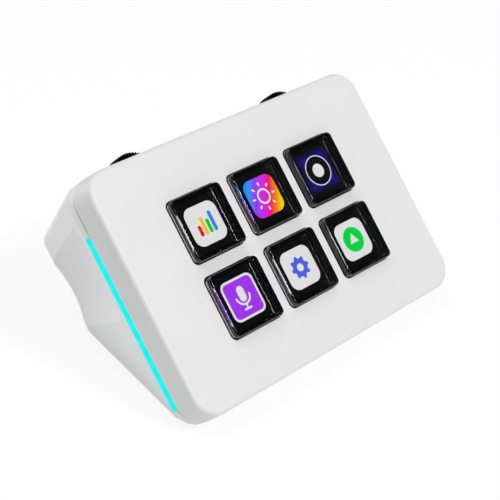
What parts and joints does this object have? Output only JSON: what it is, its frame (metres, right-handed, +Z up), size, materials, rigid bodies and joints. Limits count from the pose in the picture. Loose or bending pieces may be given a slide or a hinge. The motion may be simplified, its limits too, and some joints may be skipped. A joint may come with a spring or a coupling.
{
  "type": "macro keypad",
  "caption": "Desk macro keypad: clear display keys on a sloping white face, toothed thumbwheels on the top edge, cyan light bars and a tapered stand.",
  "frame": {"origin": "centre of the bounding box on the desk, under the feet", "axes": "+X to the right of the person who faces the keys, +Y away from them to the rear, +Z up"},
  "size_m": [0.1122, 0.0914, 0.0674],
  "materials": {
    "white_shell": "fine satin white ABS",
    "light_bar": "cyan diffuser, lit from behind",
    "key_clear": "clear moulded block over the display",
    "key_black": "black skirt",
    "silicone": "matt grey silicone",
    "display_black": "black display glass",
    "sheet_metal": "folded tray",
    "circuit_board": "green solder mask",
    "chip_black": "moulded component cases",
    "screw_steel": "zinc-plated screws",
    "wheel_black": "black toothed grip",
    "collar_grey": "mid-grey collar",
    "foot_rubber": "dark rubber feet"
  },
  "bodies": {
    "housing": {"front_cover": "white_shell", "rear_shell": "white_shell", "base_cover": "white_shell", "foot_front": "foot_rubber", "foot_rear": "foot_rubber", "light_bar_left": "light_bar", "light_bar_right": "light_bar", "led_strip_left": "circuit_board", "led_strip_right": "circuit_board", "key_mat": "silicone", "display_glass": "display_black", "display_tray": "sheet_metal", "main_board": "circuit_board", "board_parts": "chip_black", "board_screws": "screw_steel", "encoder_left": "chip_black", "encoder_right": "chip_black", "encoder_board": "circuit_board", "encoder_screws": "screw_steel", "usb_board": "circuit_board", "usb_socket": "sheet_metal", "usb_screws": "screw_steel", "case_screws": "screw_steel", "base_screws": "screw_steel"},
    "key_1": {"key_cap_1": "key_clear", "key_skirt_1": "key_black"},
    "key_2": {"key_cap_2": "key_clear", "key_skirt_2": "key_black"},
    "key_3": {"key_cap_3": "key_clear", "key_skirt_3": "key_black"},
    "key_4": {"key_cap_4": "key_clear", "key_skirt_4": "key_black"},
    "key_5": {"key_cap_5": "key_clear", "key_skirt_5": "key_black"},
    "key_6": {"key_cap_6": "key_clear", "key_skirt_6": "key_black"},
    "thumbwheel_left": {"wheel_left": "wheel_black", "wheel_collar_left": "collar_grey", "encoder_shaft_left": "sheet_metal"},
    "thumbwheel_right": {"wheel_right": "wheel_black", "wheel_collar_right": "collar_grey", "encoder_shaft_right": "sheet_metal"}
  },
  "joints": [
    {"name": "key_1_press", "type": "slide", "parent": "housing", "child": "key_1", "axis": [0, 0.766, -0.6428], "range_m": [0, 0.0006], "stiffness_N_per_m": 500, "springref_m": -0.0006},
    {"name": "key_2_press", "type": "slide", "parent": "housing", "child": "key_2", "axis": [0, 0.766, -0.6428], "range_m": [0, 0.0006], "stiffness_N_per_m": 500, "springref_m": -0.0006},
    {"name": "key_3_press", "type": "slide", "parent": "housing", "child": "key_3", "axis": [0, 0.766, -0.6428], "range_m": [0, 0.0006], "stiffness_N_per_m": 500, "springref_m": -0.0006},
    {"name": "key_4_press", "type": "slide", "parent": "housing", "child": "key_4", "axis": [0, 0.766, -0.6428], "range_m": [0, 0.0006], "stiffness_N_per_m": 500, "springref_m": -0.0006},
    {"name": "key_5_press", "type": "slide", "parent": "housing", "child": "key_5", "axis": [0, 0.766, -0.6428], "range_m": [0, 0.0006], "stiffness_N_per_m": 500, "springref_m": -0.0006},
    {"name": "key_6_press", "type": "slide", "parent": "housing", "child": "key_6", "axis": [0, 0.766, -0.6428], "range_m": [0, 0.0006], "stiffness_N_per_m": 500, "springref_m": -0.0006},
    {"name": "thumbwheel_left_turn", "type": "hinge", "parent": "housing", "child": "thumbwheel_left", "pos_m": [-0.03155, 0.00894, 0.05527], "axis": [0, -0.766, 0.6428], "continuous": true},
    {"name": "thumbwheel_right_turn", "type": "hinge", "parent": "housing", "child": "thumbwheel_right", "pos_m": [0.03155, 0.00894, 0.05527], "axis": [0, -0.766, 0.6428], "continuous": true}
  ]
}
